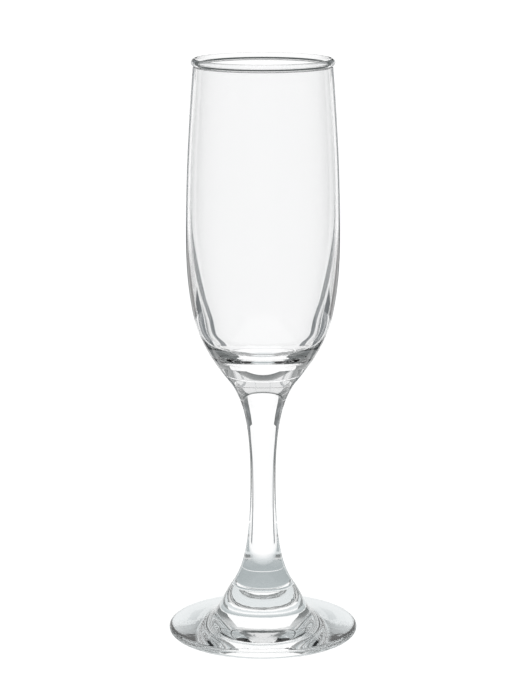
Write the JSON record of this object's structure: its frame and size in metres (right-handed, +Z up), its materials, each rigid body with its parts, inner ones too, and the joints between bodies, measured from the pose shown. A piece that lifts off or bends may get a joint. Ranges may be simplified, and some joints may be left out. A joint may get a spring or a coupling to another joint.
{
  "type": "champagne flute",
  "caption": "Slender stemmed drinking glass with a tall bowl, a round rim bead, a waisted solid stem and a round foot.",
  "frame": {"origin": "centre of the foot, on the table that the glass stands on", "axes": "+Z up along the glass's axis of symmetry, from the foot to the open rim"},
  "size_m": [0.0688, 0.0688, 0.2095],
  "materials": {
    "bowl_glass": "clear soda-lime glass, blown and fire polished",
    "stem_glass": "clear soda-lime glass, drawn and fire polished",
    "foot_glass": "clear soda-lime glass, pressed, with faint ripples"
  },
  "bodies": {
    "root": {"bowl": "bowl_glass", "stem": "stem_glass", "foot": "foot_glass"}
  },
  "joints": []
}
